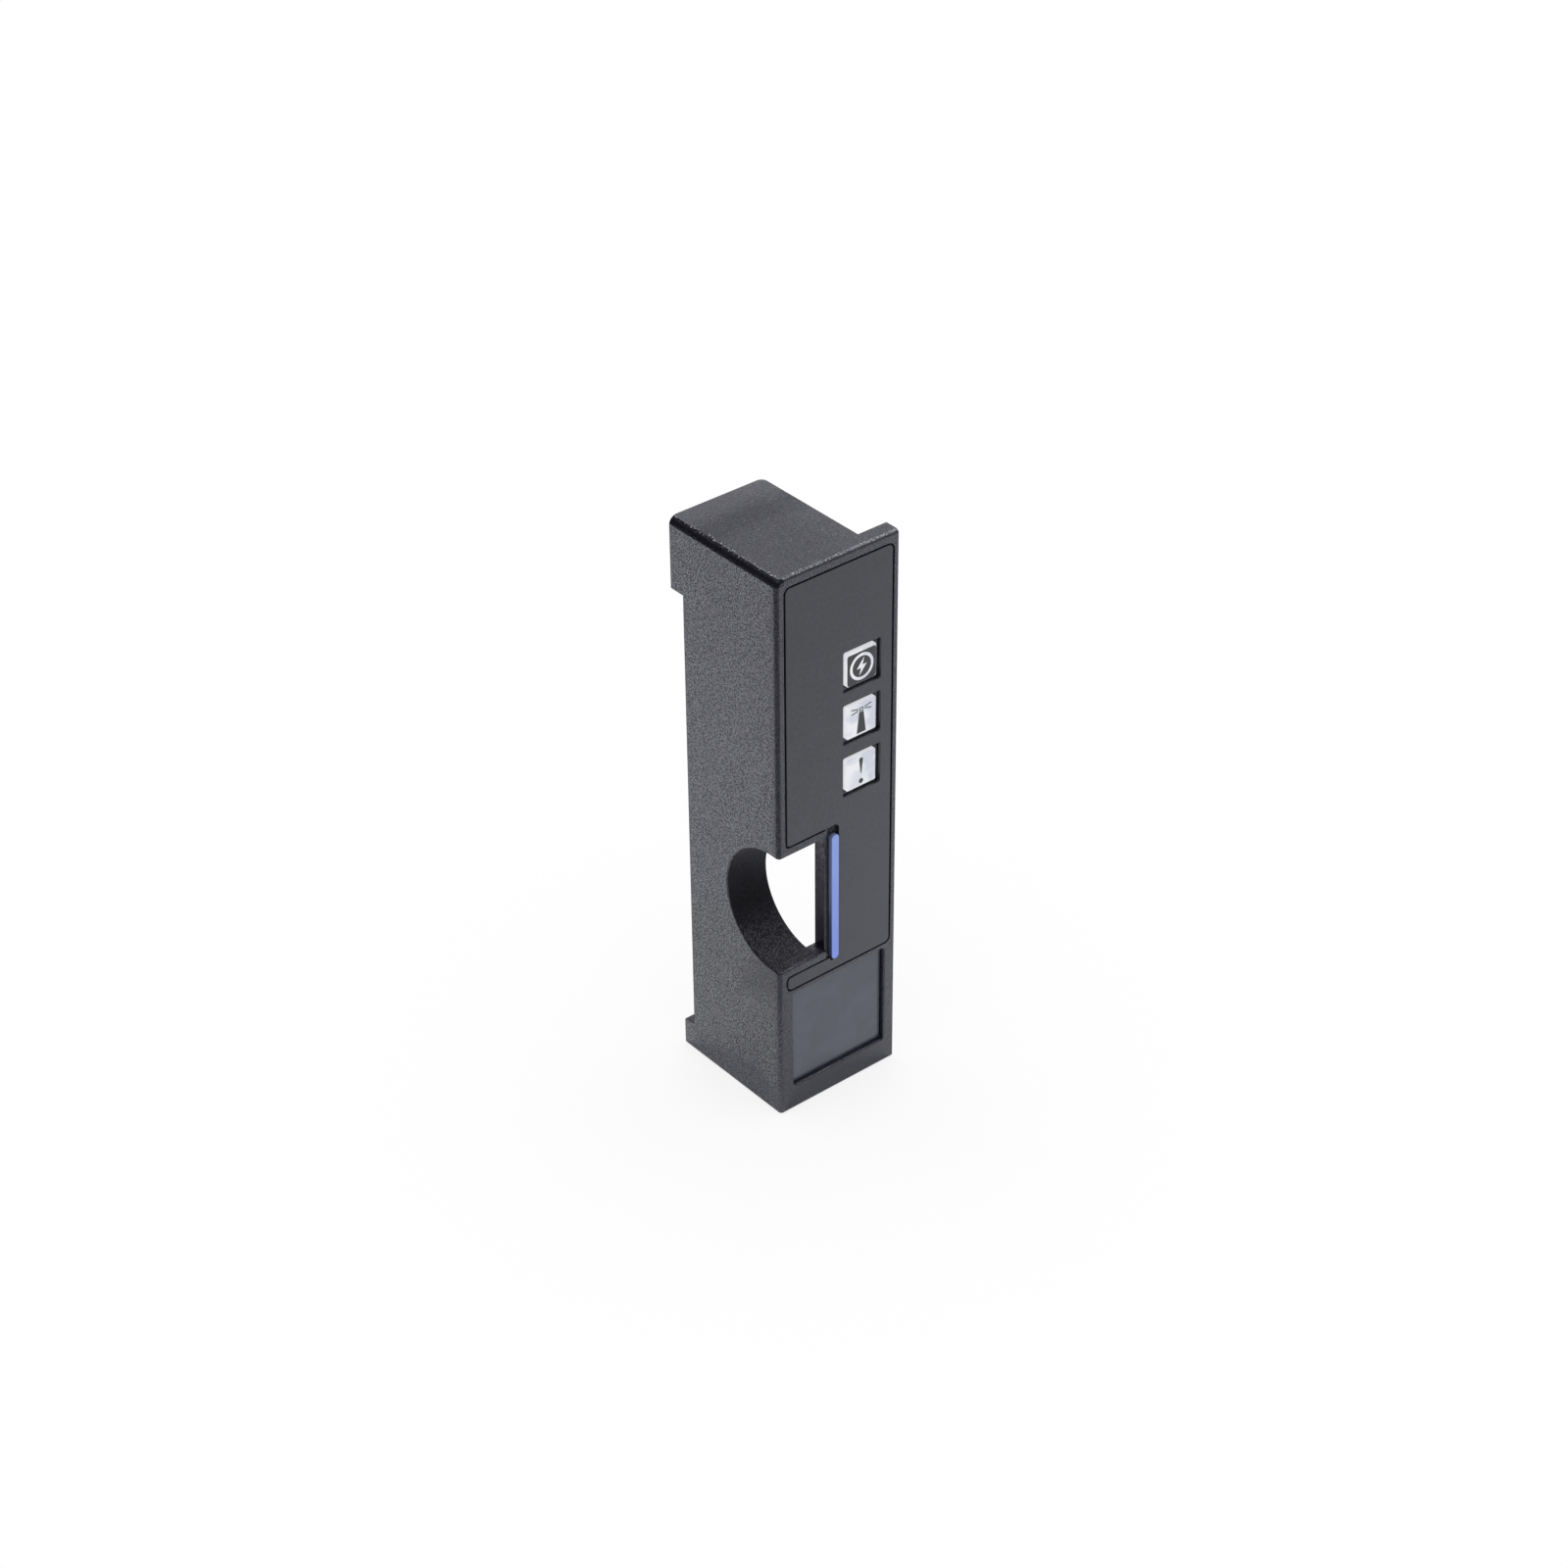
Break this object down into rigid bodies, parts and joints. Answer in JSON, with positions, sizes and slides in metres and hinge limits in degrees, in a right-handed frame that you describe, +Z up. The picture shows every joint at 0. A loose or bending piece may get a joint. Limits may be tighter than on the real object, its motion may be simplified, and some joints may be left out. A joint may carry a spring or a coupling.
{
  "type": "storage array ear cover",
  "caption": "Upright black end cover for the ear of a rack storage enclosure, with a finger cut-out, a blue touch strip, lit symbol windows and a smoked display window.",
  "frame": {"origin": "middle of the foot, under the middle of the outside box", "axes": "+Z up the cover, -Y out of the front face, -X out of the wall with the finger cut-out"},
  "size_m": [0.0208, 0.0222, 0.087],
  "materials": {
    "cover_plastic": "black, spark-eroded grain",
    "overlay_sheet": "dark grey, smooth matt",
    "touch_blue": "blue, satin",
    "smoked_pane": "smoked, satin",
    "holder_plastic": "black, plain",
    "clear_plastic": "clear, polished"
  },
  "bodies": {
    "root": {"cover_body": "cover_plastic", "front_overlay": "overlay_sheet", "touch_strip": "touch_blue", "display_window": "smoked_pane", "light_pipe_holder": "holder_plastic", "power_light_pipe": "clear_plastic", "identify_light_pipe": "clear_plastic", "fault_light_pipe": "clear_plastic"}
  },
  "joints": []
}
